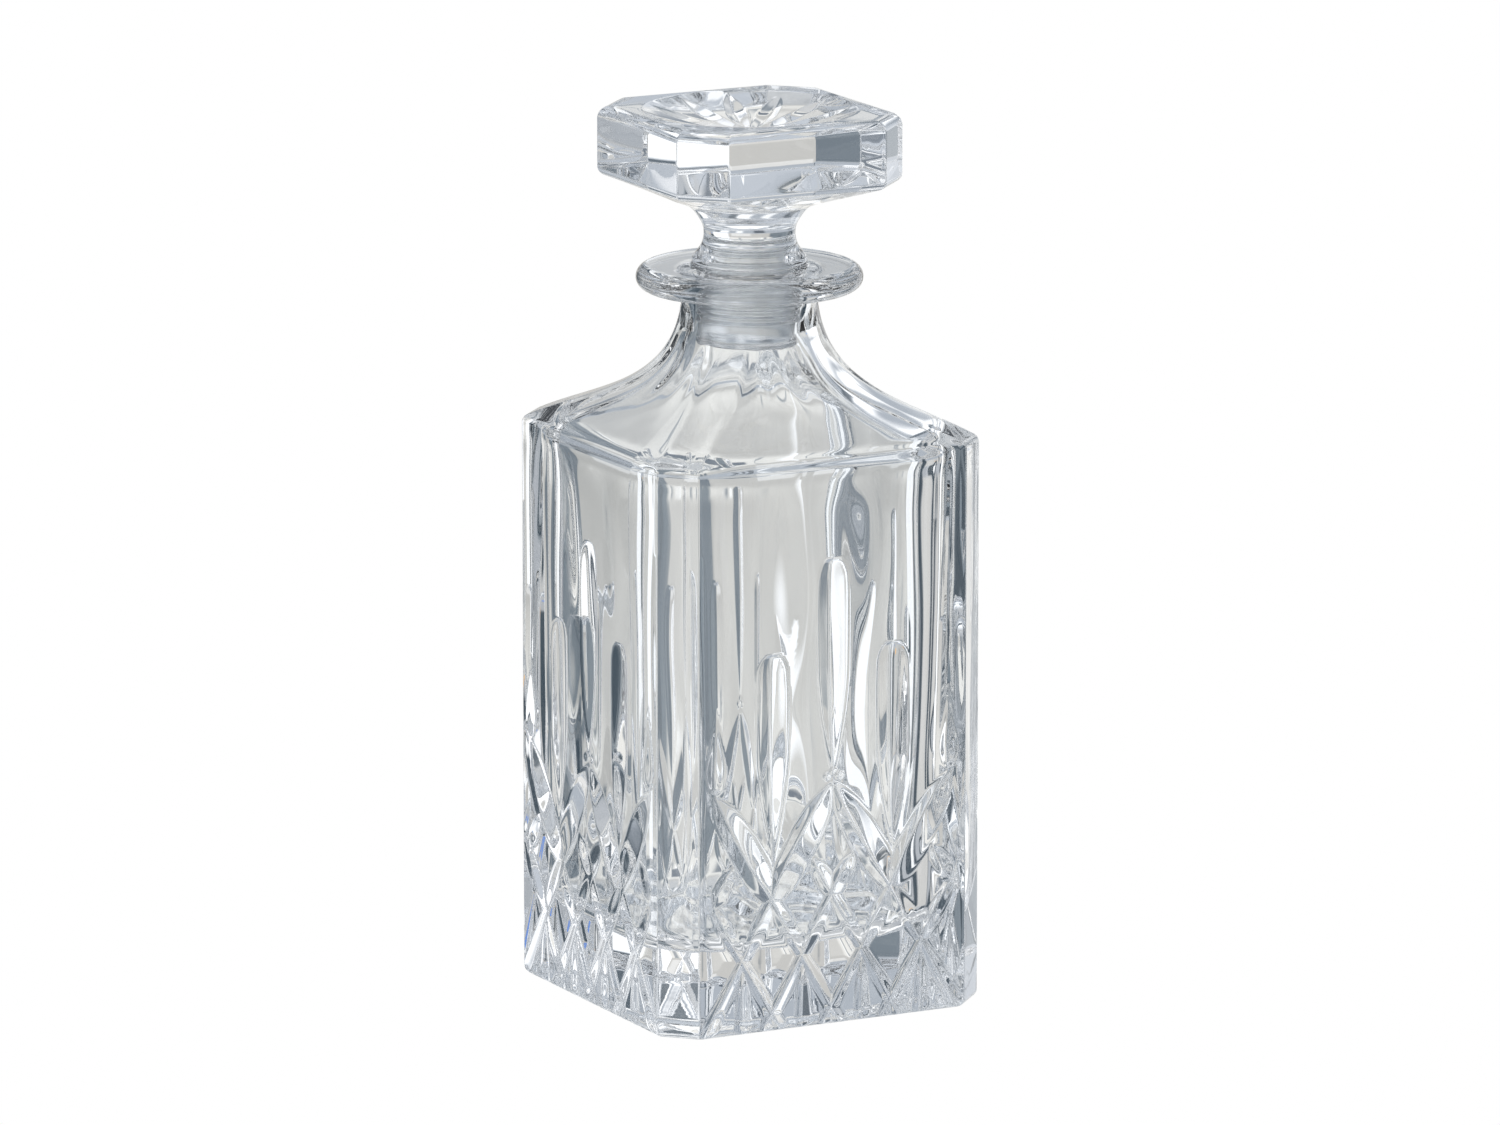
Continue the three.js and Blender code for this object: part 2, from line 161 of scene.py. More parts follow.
def surface(rings):
    """Vertices and faces through rings in order, with a cap on the first and the last.

    Two neighbouring rings have the same count, or one has 3 times as many.
    """
    counts = [len(r) for r in rings]
    start = np.concatenate([[0], np.cumsum(counts)])
    quads, tris = [], []
    for a, b, na, nb in zip(start, start[1:], counts, counts[1:]):
        k = np.arange(min(na, nb))
        n = (k + 1) % len(k)
        if na == nb:
            quads.append(np.stack([a + k, a + n, b + n, b + k], 1))
        elif na == 3 * nb:
            g = [a + (3 * k + j) % na for j in range(4)]
            tris.append(np.stack([g[0], g[1], b + k], 1))
            quads.append(np.stack([g[1], g[2], b + n, b + k], 1))
            tris.append(np.stack([g[2], g[3], b + n], 1))
        elif nb == 3 * na:
            g = [b + (3 * k + j) % nb for j in range(4)]
            tris.append(np.stack([a + k, g[1], g[0]], 1))
            quads.append(np.stack([a + k, a + n, g[2], g[1]], 1))
            tris.append(np.stack([a + n, g[3], g[2]], 1))
        else:
            raise ValueError("rings don't match")
    k = np.arange(counts[0])
    tris.append(np.stack([np.full(len(k), start[-1]), (k + 1) % len(k), k], 1))
    k = np.arange(counts[-1])
    tris.append(np.stack([np.full(len(k), start[-1] + 1), start[-2] + k, start[-2] + (k + 1) % len(k)], 1))
    return np.concatenate([*rings, rings[0].mean(0)[None], rings[-1].mean(0)[None]]), quads, tris


def make_piece(name, verts, quads, tris, material, body, node, slot, exact_normals=None):
    mesh = bpy.data.meshes.new(name)
    quads = np.concatenate(quads) if quads else np.zeros((0, 4), int)
    tris = np.concatenate(tris) if tris else np.zeros((0, 3), int)
    mesh.vertices.add(len(verts))
    mesh.vertices.foreach_set("co", (verts * MM).astype(np.float32).ravel())
    mesh.loops.add(quads.size + tris.size)
    mesh.loops.foreach_set("vertex_index", np.concatenate([quads.ravel(), tris.ravel()]).astype(np.int32))
    mesh.polygons.add(len(quads) + len(tris))
    starts = np.concatenate([np.arange(len(quads)) * 4, quads.size + np.arange(len(tris)) * 3])
    mesh.polygons.foreach_set("loop_start", starts.astype(np.int32))
    mesh.polygons.foreach_set("use_smooth", np.ones(len(starts), bool))
    mesh.update(calc_edges=True)
    mesh.validate()
    if exact_normals:
        normals = np.zeros(len(verts) * 3, np.float32)
        mesh.vertex_normals.foreach_get("vector", normals)
        mesh.normals_split_custom_set_from_vertices(exact_normals(verts, normals.reshape(-1, 3)))
    mesh.materials.append(material)
    obj = bpy.data.objects.new(name, mesh)
    bpy.context.scene.collection.objects.link(obj)
    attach(obj, body)
    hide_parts(node)


def arc(cr, cz, radius, start, stop, steps):
    """Points (r, z) on an arc around (cr, cz), from start to stop in degrees."""
    a = np.radians(np.linspace(start, stop, steps + 1))
    return list(zip(cr + radius * np.cos(a), cz + radius * np.sin(a)))


# The cut pattern, in millimetres across (u) and up (v) on one face ------------------------------------
ROW = 15.0
LOWEST = 4.5
PITCH = (HALF - CORNER - 4.0) / 2
LEAN = PITCH / math.hypot(PITCH, 2 * ROW)
FALL = math.sqrt(1 - LEAN ** 2)
STEEP, FLUTE_STEEP = 0.66, 0.54
# Each cut's half-width against the distance along it.
LONG_CUT = [(0, 0), (4, 1.8), (9, 3.4), (17, 4.1), (24, 4.1), (29, 3.4), (34.6, 2), (42, 2.3), (52, 1.3),
            (62, 1.7), (82, 2.4)]
SHORT_CUT = [(0, 0), (4, 2), (8, 2.3), (12, 1.6), (21, 2), (29.5, 1.3), (39, 1.7), (60, 2.4)]
SPRIG = 12.0
OUTER_CUT = [(0, 0), (1.5, 1.2), (9, 2), (17.5, 1.3), (27, 1.7), (48, 2.4)]
SPRIG_CUT = [(0, 0), (4, 2), (8, 2.3), (12, 0)]
FAN_CUT = [(0, 0), (5, 1.1), (12, 1.8), (24, 2.8)]
# The upright cuts, as shares of their length and half-width.
FLUTE = [(0, 0), (0.15, 0.42), (0.32, 0.78), (0.5, 0.98), (0.75, 1), (0.9, 0.95), (0.96, 0.75), (0.99, 0.4), (1, 0)]
SPIKE = [(0, 0), (0.12, 0.8), (0.3, 1), (0.65, 0.55), (1, 0)]
# Column, foot above row 4, length, half-width and shape of each upright cut.
UPRIGHTS = [(0, 1, 57.5, 4.3, FLUTE), (1, -18.5, 53.5, 4.2, FLUTE), (1.95, -1, 21, 2.4, SPIKE)]
PATTERN_TOP = 126
CUT_EDGE = 0.42


def row(n):
    return LOWEST + n * ROW


def pattern_cuts():
    """Every cut of one face: start, direction, half-widths along it and steepness."""
    cuts = []
    for side in (-1, 1):
        outer = 2 * side * PITCH
        cuts.append((0, row(4), side * LEAN, -FALL, LONG_CUT, STEEP))
        cuts.append((outer, row(4), -side * LEAN, -FALL, LONG_CUT, STEEP))
        cuts.append((-side * LEAN * SPRIG, row(2) + FALL * SPRIG, side * LEAN, -FALL, SHORT_CUT, STEEP))
        cuts.append((outer, row(2), -side * LEAN, -FALL, OUTER_CUT, STEEP))
        cuts.append((outer - side * LEAN * SPRIG, row(2) + FALL * SPRIG, side * LEAN, -FALL, SPRIG_CUT, STEEP))
        for column in (0.5, 1.5):
            cuts.append((side * column * PITCH, row(1), 0, -1, FAN_CUT, STEEP))
    for column, foot, length, half, shape in UPRIGHTS:
        stations = [(t * length, s * half) for t, s in shape]
        for side in ((1,) if column == 0 else (-1, 1)):
            cuts.append((side * column * PITCH, row(4) + foot, 0, 1, stations, FLUTE_STEEP))
    return cuts


CUTS = pattern_cuts()
# Small round cuts at the middle of row 4: centre, radius and depth.
DIMPLES = [(-1.7, row(4) + 1.3, 1.0, 0.45), (1.7, row(4) + 1.3, 1.0, 0.45),
           (0, row(4) - 1.2, 0.9, 0.4), (0, row(4) + 2.6, 0.9, 0.4)]


def cut_depth(u, v):
    """Depth of the pattern at points of a face, below zero where nothing is cut."""
    round_off = 0.3
    depth = np.full(u.shape, -5.0)
    for u0, v0, du, dv, stations, steep in CUTS:
        s = (u - u0) * du + (v - v0) * dv
        w = np.abs((u - u0) * dv - (v - v0) * du)
        xs, ys = zip(*stations)
        near = (s > xs[0] - 2) & (s < xs[-1] + 2) & (w < 8)
        if not near.any():
            continue
        half = pchip(xs, ys, s[near])
        d = steep * (half - np.sqrt(w[near] ** 2 + round_off ** 2) + 0.4 * round_off)
        depth[near] = smooth_max(depth[near], d, 0.22)
    for u0, v0, r, deep in DIMPLES:
        d = deep * (1 - ((u - u0) ** 2 + (v - v0) ** 2) / r ** 2)
        depth = smooth_max(depth, d, 0.15)
    return depth


def cut_face_pattern(p):
    """Moves points of the outer wall in along each face's normal, where a cut is deeper than they are."""
    p = p.copy()
    for k in range(4):
        c, s = quarter_turn(k)
        inset = HALF - (c * p[:, 0] + s * p[:, 1])
        near = (inset < 7) & (p[:, 2] < PATTERN_TOP)
        u = -s * p[near, 0] + c * p[near, 1]
        d = smooth_max(inset[near], cut_depth(u, p[near, 2]), CUT_EDGE)
        move = d - inset[near]
        move[inset[near] > 6.5] = 0
        p[near, 0] -= c * move
        p[near, 1] -= s * move
    return p


def pattern_normals(verts, normals):
    """Exact normals of the cut faces, so that slanting cuts don't shade in steps along the grid."""
    delta = 0.06
    out = normals.copy()
    for k in range(4):
        c, s = quarter_turn(k)
        inset = HALF - (c * verts[:, 0] + s * verts[:, 1])
        across, up = -s * verts[:, 0] + c * verts[:, 1], verts[:, 2]
        on = (inset > -0.01) & (inset < 5) & (np.abs(across) < HALF - CORNER - 0.6)
        on &= (up > HEEL + 0.6) & (up < PATTERN_TOP - 1)
        on &= (c * normals[:, 0] + s * normals[:, 1]) > 0.3
        u, v = across[on], up[on]

        def depth(du, dv):
            return smooth_max(np.zeros(len(u)), cut_depth(u + du, v + dv), CUT_EDGE)

        slope_u = (depth(delta, 0) - depth(-delta, 0)) / (2 * delta)
        slope_v = (depth(0, delta) - depth(0, -delta)) / (2 * delta)
        n = np.stack([c - s * slope_u, s + c * slope_u, slope_v], 1)
        out[on] = n / np.linalg.norm(n, axis=1, keepdims=True)
    return out


# Bottle -------------------------------------------------------------------------------------------------
def shoulder(t):
    """A point (half-width, height) on the shoulder's curve and its direction there."""
    p = np.array([[HALF, BODY_TOP], [HALF + (NECK - HALF) * SHOULDER_IN, BODY_TOP + SHOULDER_UP * RISE],
                  [NECK, BODY_TOP + 0.3 * RISE], [NECK, BODY_TOP + RISE]])
    w = np.array([(1 - t) ** 3, 3 * t * (1 - t) ** 2, 3 * t * t * (1 - t), t ** 3])
    d = np.array([-3 * (1 - t) ** 2, 3 * (1 - t) ** 2 - 6 * t * (1 - t), 6 * t * (1 - t) - 3 * t * t, 3 * t * t])
    point, along = w @ p, d @ p
    return point, along / np.hypot(*along)


def corner_at(half):
    return CORNER * half / HALF


def inside_corner_at(half):
    return INSIDE_CORNER * half / HALF


def wavy(p):
    """The soft unevenness of a pressed inner wall, in upright streaks, with folds where the shoulder narrows.

    The floor has a soft ripple of its own.
    """
    x, y, z = p.T
    angle, r = np.arctan2(y, x), np.hypot(x, y)
    body = (np.sin(11 * angle + 1.6 * np.sin(z / 19) + 0.4)
            + 0.5 * np.sin(15 * angle + 1.4 * np.sin(z / 14 + 2) + 1.9)
            + 0.2 * np.sin(27 * angle + 1.1 * np.sin(z / 23 + 1) + 4.1)
            + 0.6 * np.sin(z / 13 + 2 * np.sin(3 * angle + 1))
            + 1.2 * np.sin(6 * angle + 1.8 * np.sin(z / 25 + 0.7) + 2.6))
    body *= smoothstep((z - 24) / 12) * (1 - smoothstep((z - 132) / 12))
    folds = (np.sin(12 * angle + 0.9 * np.sin(3 * angle) + 0.5 * np.sin(z / 6))
             + 0.5 * np.sin(19 * angle + 2 + z / 15))
    folds *= 0.6 * smoothstep((z - 152) / 9) * (1 - smoothstep((z - 166) / 7))
    move = 0.32 * (body / 2 + folds)
    ripple = np.sin(x / 4.3 + 1) * np.sin(y / 4.9 + 2) + 0.6 * np.sin((x + 0.7 * y) / 3.3)
    out = p.copy()
    out[:, 0] += move * x / np.maximum(r, 1)
    out[:, 1] += move * y / np.maximum(r, 1)
    out[:, 2] += 0.38 * (1 - smoothstep((z - FLOOR_Z) / 6)) * ripple
    return out


def inside_wall():
    """The inner wall from under the bore down to the floor: half-width, height, corner cut and squareness."""
    points = []
    for t in np.linspace(0.98, 0.06, 44):
        (x, y), along = shoulder(t)
        half, z = x - WALL_SHOULDER * along[1], y + WALL_SHOULDER * along[0]
        if z < BORE_FOOT - 1 and half > BORE + 0.2:
            points.append((half, z, inside_corner_at(half), INSIDE_SQUARENESS * (1 - t ** 1.6)))
    top, bottom = HALF - WALL_TOP, HALF - WALL_FOOT
    high, low = BODY_TOP - WALL_SHOULDER - SHOULDER_EDGE, FLOOR_Z + INSIDE_HEEL
    for s in np.linspace(0, 1, 60):
        half = top + (bottom - top) * s
        corner = INSIDE_CORNER + (inside_corner_at(bottom) - INSIDE_CORNER) * s
        points.append((half, high + (low - high) * s, corner, INSIDE_SQUARENESS))
    for half, z in arc(bottom - INSIDE_HEEL, low, INSIDE_HEEL, 0, -90, 16)[1:]:
        points.append((half, z, inside_corner_at(half), INSIDE_SQUARENESS))
    points = np.array(points)
    length = np.concatenate([[0], np.cumsum(np.hypot(*np.diff(points[:, :2], axis=0).T))])
    even = np.linspace(0, length[-1], 190)
    p = np.stack([np.interp(even, length, c) for c in points.T], 1)
    soft = p.copy()
    step = even[1]
    reach = int(5 / step)
    weight = np.cos(np.linspace(-1, 1, 2 * reach + 1) * math.pi / 2)
    padded = np.pad(p, ((reach, reach), (0, 0)), mode="reflect", reflect_type="odd")
    for k in range(4):
        soft[:, k] = np.convolve(padded[:, k], weight / weight.sum(), "valid")
    near_edge = smoothstep(1 - np.abs(p[:, 1] - high) / 16)[:, None]
    return p + (soft - p) * np.minimum(near_edge * 2, 1)


def bottle():
    fine = Columns(81, 6, 48)
    coarse = fine.every(3)
    step = 0.45
    rings = []
    foot = HALF - HEEL - 9
    for r, z in [(foot - 6, 1.0), (foot - 1.6, 1.0), (foot - 1, 0.88), (foot - 0.35, 0.35), (foot, 0.1),
                 (foot + 0.5, 0.0)]:
        rings.append(coarse.circle(r, z))
    rings.append(coarse.ring(HALF - HEEL - 1.5, corner_at(HALF - HEEL), 1, 0))
    for half, z in arc(HALF - HEEL, HEEL, HEEL, -90, 0, 8):
        rings.append(cut_face_pattern(fine.ring(half, corner_at(half), 1, z)))
    for z in np.concatenate([np.arange(HEEL + step, 70, step), np.arange(70, PATTERN_TOP, 2 * step)]):
        rings.append(cut_face_pattern(fine.ring(HALF, CORNER, 1, z)))
    turn = math.degrees(math.atan2(HALF - (HALF + (NECK - HALF) * SHOULDER_IN), SHOULDER_UP * RISE))
    tangent = SHOULDER_EDGE * math.tan(math.radians(turn) / 2)
    for z in np.arange(127, BODY_TOP - tangent - 1, 2.5):
        rings.append(coarse.ring(HALF, CORNER, 1, z))
    for half, z in arc(HALF - SHOULDER_EDGE, BODY_TOP - tangent, SHOULDER_EDGE, 0, turn, 8):
        rings.append(coarse.ring(half, corner_at(half), 1, z))
    for t in np.linspace(0.05, 1, 46):
        (half, z), _ = shoulder(t)
        rings.append(coarse.ring(half, corner_at(half), 1 - t ** 1.6, z, edge=0.8 + 3 * t))
    under = MOUTH - RING_THICK
    e = RING_THICK / 2
    lip = arc(NECK + COVE, under - COVE, COVE, 180, 90, 5)
    lip += [(NECK + 3, under), (RING - e - 2, under)] + arc(RING - e, under + e, e, -90, 90, 22)
    lip += [(RING - e - 2, MOUTH), (RING - e - 6, MOUTH), (SEAT_R + 1.5, MOUTH)]
    lip += arc(SEAT_R + 0.4, MOUTH - 0.4, 0.4, 90, 180, 4)
    lip += [(SEAT_R, SEAT_Z + 0.2), (SEAT_R - 0.1, SEAT_Z + 0.03), (SEAT_R - 0.3, SEAT_Z)]
    lip += arc(BORE + 0.35, SEAT_Z - 0.35, 0.35, 90, 180, 4)
    rings += [coarse.circle(r, z) for r, z in lip]
    for z in np.linspace(SEAT_Z - 1.5, BORE_FOOT + 0.5, 8):
        rings.append(coarse.circle(BORE, z))
    rings.append(coarse.circle(BORE + 0.02, BORE_FOOT))
    for half, z, corner, square in inside_wall():
        rings.append(wavy(coarse.ring(half, corner, square, z, edge=INSIDE_EDGE)))
    for half in np.arange(31, 2, -1.4):
        square = INSIDE_SQUARENESS * smoothstep((half - 5) / 25)
        rings.append(wavy(coarse.ring(half, inside_corner_at(half), square, FLOOR_Z, edge=INSIDE_EDGE)))
    return surface(rings)


# Stopper ------------------------------------------------------------------------------------------------
PEG = 11.2
PEG_FOOT = STOPPER_LOW[2]
COLLAR_Z = SLEEVE_HIGH[2] + GAP
COLLAR = 14.8
HEAD_HALF = STOPPER_HIGH[0]
HEAD_CORNER = 10.0
HEAD_TOP = STOPPER_HIGH[2]
STEM_TOP = COLLAR_Z + 16.9
HEAD_LOW = STEM_TOP + 4.4
DISH = HEAD_HALF - 4.6
DISH_DEEP = 5.5
DISH_SPHERE = (DISH ** 2 + DISH_DEEP ** 2) / (2 * DISH_DEEP)
RAYS = 12
RAY = [(0, 0), (0.25, 1.9), (0.5, 2.7), (0.75, 2.3), (1, 0)]


def catmull(points, steps):
    """A smooth curve through the points, in steps between each two."""
    p = np.array(points, float)
    p = np.vstack([2 * p[0] - p[1], p, 2 * p[-1] - p[-2]])
    out = []
    for i in range(1, len(p) - 2):
        for t in np.arange(steps) / steps:
            out.append(0.5 * (2 * p[i] + (p[i + 1] - p[i - 1]) * t
                              + (2 * p[i - 1] - 5 * p[i] + 4 * p[i + 1] - p[i + 2]) * t ** 2
                              + (3 * p[i] - p[i - 1] - 3 * p[i + 1] + p[i + 2]) * t ** 3))
    return out + [p[-2]]


def star(p):
    """Lowers points of the head's dish where its rays are cut."""
    r = np.hypot(p[:, 0], p[:, 1])
    angle = np.arctan2(p[:, 1], p[:, 0])
    pitch = 2 * math.pi / RAYS
    off = (angle / pitch - 0.5) - np.round(angle / pitch - 0.5)
    along, across = r * np.cos(off * pitch), np.abs(r * np.sin(off * pitch))
    length = DISH - 2.5
    half = pchip([t * length for t, _ in RAY], [w for _, w in RAY], along - 1.5)
    depth = 0.5 * (half - np.sqrt(across ** 2 + 0.2 ** 2) + 0.08)
    out = p.copy()
    out[:, 2] -= smooth_max(np.zeros(len(p)), depth, 0.15)
    return out


def stopper():
    col = Columns(42, 4, 28)
    profile = [(PEG - 4, PEG_FOOT), (PEG - 1.1, PEG_FOOT)] + arc(PEG - 1, PEG_FOOT + 1, 1, -80, 0, 5)
    profile += [(PEG, z) for z in np.linspace(PEG_FOOT + 3, COLLAR_Z - 0.4, 8)]
    profile += [(PEG + 0.12, COLLAR_Z - 0.12), (PEG + 0.4, COLLAR_Z), (COLLAR - 0.5, COLLAR_Z)]
    profile += arc(COLLAR - 0.4, COLLAR_Z + 0.4, 0.4, -80, 0, 4)
    foot = COLLAR_Z + 1.2
    h = STEM_TOP - foot
    profile += catmull([(COLLAR, foot), (12.5, foot + 0.2 * h), (11.8, foot + 0.4 * h), (12.6, foot + 0.6 * h),
                        (15.8, foot + 0.86 * h), (21, STEM_TOP)], 8)
    rings = [col.circle(r, z) for r, z in profile]
    low, high = 2.5, 3.4
    side = arc(HEAD_HALF - low, HEAD_LOW + low, low, -70, 0, 8)
    side += arc(HEAD_HALF - high, HEAD_TOP - high, high, 0, 90, 14)
    head = [col.ring(half, HEAD_CORNER * half / HEAD_HALF, 1, z) for half, z in side]
    lower, upper = rings[-1], head[0]
    rings += [lower + (upper - lower) * s for s in np.linspace(0, 1, 14)[1:-1]] + head
    rim, edge = rings[-1], col.circle(DISH, HEAD_TOP)
    for s in (0.3, 0.6, 0.85):
        rings.append(rim + (edge - rim) * s)
    rings.append(col.circle(DISH + 0.1, HEAD_TOP - 0.02))
    for r in np.linspace(DISH - 0.2, 0.4, 80):
        z = HEAD_TOP - (math.sqrt(DISH_SPHERE ** 2 - r ** 2) - (DISH_SPHERE - DISH_DEEP))
        rings.append(star(col.circle(r, z)))
    return surface(rings)


# Sleeve ---------------------------------------------------------------------------------------------------
def sleeve():
    col = Columns(16, 2, 12)
    wall, flange, pitch, flange_edge = 1.2, 1.8, 1.8, 0.4
    inner, rib, flange_r = PEG + GAP, BORE - GAP, 14.6
    outer = inner + wall
    z0, z1 = SLEEVE_LOW[2], SLEEVE_HIGH[2]
    under = z1 - flange
    profile = [(2, z0), (outer - 1.3, z0)] + arc(outer - wall, z0 + wall, wall, -85, 0, 6)
    for k in range(7, 0, -1):
        z = under - k * pitch
        for s in np.linspace(-1, 1, 9):
            profile.append((outer + (rib - outer) * max(math.cos(s * math.pi / 2), 0) ** 1.4, z + 0.72 * s))
    profile += [(outer, under - 0.2), (outer + 0.2, under)]
    profile += arc(flange_r, under + flange_edge, flange_edge, -90, 0, 4)
    profile += arc(flange_r, z1 - flange_edge, flange_edge, 0, 90, 4)
    profile += [(inner + 0.2, z1), (inner, z1 - 0.2)]
    profile += [(inner, z) for z in np.linspace(z1 - 1, z0 + 1.6, 10)] + [(inner - 0.4, z0 + wall), (2, z0 + wall)]
    return surface([col.circle(r, z) for r, z in profile])


# Materials --------------------------------------------------------------------------------------------------
class Nodes:
    """Short ways to build a node tree, which starts empty."""

    def __init__(self, tree):
        self.tree = tree
        tree.nodes.clear()

    def add(self, kind, **inputs):
        """A new node, with these input values. An underscore in a name stands for a space."""
        node = self.tree.nodes.new(kind)
        for name, value in inputs.items():
            node.inputs[name.replace("_", " ")].default_value = value
        return node

    def link(self, a, b):
        self.tree.links.new(a, b)

    def math(self, op, a, b=None, c=None):
        node = self.tree.nodes.new("ShaderNodeMath")
        node.operation = op
        for socket, value in zip(node.inputs, (a, b, c)):
            if value is None:
                continue
            if isinstance(value, (int, float)):
                socket.default_value = value
            else:
                self.link(value, socket)
        return node.outputs[0]

    def step(self, value, low, high):
        """0 below low, 1 above high, smooth between."""
        node = self.add("ShaderNodeMapRange", From_Min=low, From_Max=high)
        node.interpolation_type = "SMOOTHSTEP"
        self.link(value, node.inputs["Value"])
        return node.outputs["Result"]

    def mix(self, factor, a, b):
        """Colour a where the factor is 0 and colour b where it is 1. Colour a may be another node's output."""
        node = self.add("ShaderNodeMix")
        node.data_type = "RGBA"
        self.link(factor, node.inputs["Factor"])
        if isinstance(a, tuple):
            node.inputs["A"].default_value = (*a, 1)
        else:
            self.link(a, node.inputs["A"])
        node.inputs["B"].default_value = (*b, 1)
        return node.outputs["Result"]

    def noise(self, coords, scale, detail):
        node = self.add("ShaderNodeTexNoise", Scale=scale, Detail=detail, Roughness=0.5)
        self.link(coords, node.inputs["Vector"])
        return node.outputs["Fac"]

    def bump(self, height, strength, distance):
        node = self.add("ShaderNodeBump", Strength=strength, Distance=distance)
        self.link(height, node.inputs["Height"])
        return node.outputs["Normal"]


def clear_material(name, transmission, ior):
    """A see-through material, its nodes and its shader."""
    mat = bpy.data.materials.new(name)
    mat.use_nodes = True
    n = Nodes(mat.node_tree)
    shader = n.add("ShaderNodeBsdfPrincipled", Transmission_Weight=transmission, IOR=ior)
    n.link(shader.outputs["BSDF"], n.add("ShaderNodeOutputMaterial").inputs["Surface"])
    return mat, n, shader.inputs


def glass(name, streak=(60, 60, 9), bump=0.02):
    """Crystal with faint streaks of tint and unevenness, stretched as the pressed glass flowed."""
    mat, n, shader = clear_material(name, 1.0, 1.535)
    coords = n.add("ShaderNodeTexCoord").outputs["Object"]
    stretch = n.add("ShaderNodeMapping", Scale=streak)
    n.link(coords, stretch.inputs["Vector"])
    cords = n.noise(stretch.outputs["Vector"], 1.0, 2.0)
    n.link(n.mix(cords, (0.955, 0.972, 0.984), (0.985, 0.991, 0.994)), shader["Base Color"])
    n.link(n.math("MULTIPLY", n.noise(coords, 900.0, 3.0), 0.006), shader["Roughness"])
    n.link(n.bump(cords, bump, 0.004), shader["Normal"])
    return mat


def soft_plastic(name):
    """Clear soft plastic, clouded and with a fine grain."""
    mat, n, shader = clear_material(name, 0.95, 1.45)
    coords = n.add("ShaderNodeTexCoord").outputs["Object"]
    cloud = n.noise(coords, 160.0, 3.0)
    n.link(n.mix(cloud, (0.965, 0.978, 0.988), (0.996, 0.998, 1.0)), shader["Base Color"])
    n.link(n.math("MULTIPLY_ADD", cloud, 0.12, 0.08), shader["Roughness"])
    n.link(n.bump(n.noise(coords, 2600.0, 2.0), 0.12, 0.0003), shader["Normal"])
    return mat


bottle_glass = glass("pressed_crystal")
stopper_glass = glass("solid_crystal", streak=(45, 45, 60), bump=0.015)
plastic = soft_plastic("frosted_sleeve_plastic")
make_piece("crystal_bottle_fine", *bottle(), bottle_glass, "bottle", "crystal_bottle", "bottle_glass",
           pattern_normals)
make_piece("crystal_stopper_fine", *stopper(), stopper_glass, "stopper", "crystal_stopper", "stopper_glass")
make_piece("stopper_sleeve_fine", *sleeve(), plastic, "sleeve", "stopper_sleeve", "sleeve_plastic")

# Studio -------------------------------------------------------------------------------------------------------
AZIMUTH, ELEVATION, DISTANCE = math.radians(-27.379), math.radians(12.172), 2.9452
SENSOR_WIDTH, FOCAL_LENGTH = 36, 273.33
ORBIT_Z, AIM_Z, AIM_RIGHT = 0.110, 0.11269, 0.00013
back = Vector((math.sin(AZIMUTH) * math.cos(ELEVATION), -math.cos(AZIMUTH) * math.cos(ELEVATION),
               math.sin(ELEVATION)))
camera = bpy.data.objects.new("camera", bpy.data.cameras.new("camera"))
bpy.context.scene.collection.objects.link(camera)
camera.data.sensor_width = SENSOR_WIDTH
camera.data.lens = FOCAL_LENGTH
camera.location = Vector((0, 0, ORBIT_Z)) + DISTANCE * back
aim = Vector((0, 0, AIM_Z)) + AIM_RIGHT * Vector((math.cos(AZIMUTH), math.sin(AZIMUTH), 0))
camera.rotation_euler = (aim - camera.location).to_track_quat("-Z", "Y").to_euler()
bpy.context.scene.camera = camera

BACKDROP = (0.60, 0.59, 0.565)
SLATE = (0.045, 0.068, 0.090)
OVERHEAD = (1.3, 1.3, 1.32)
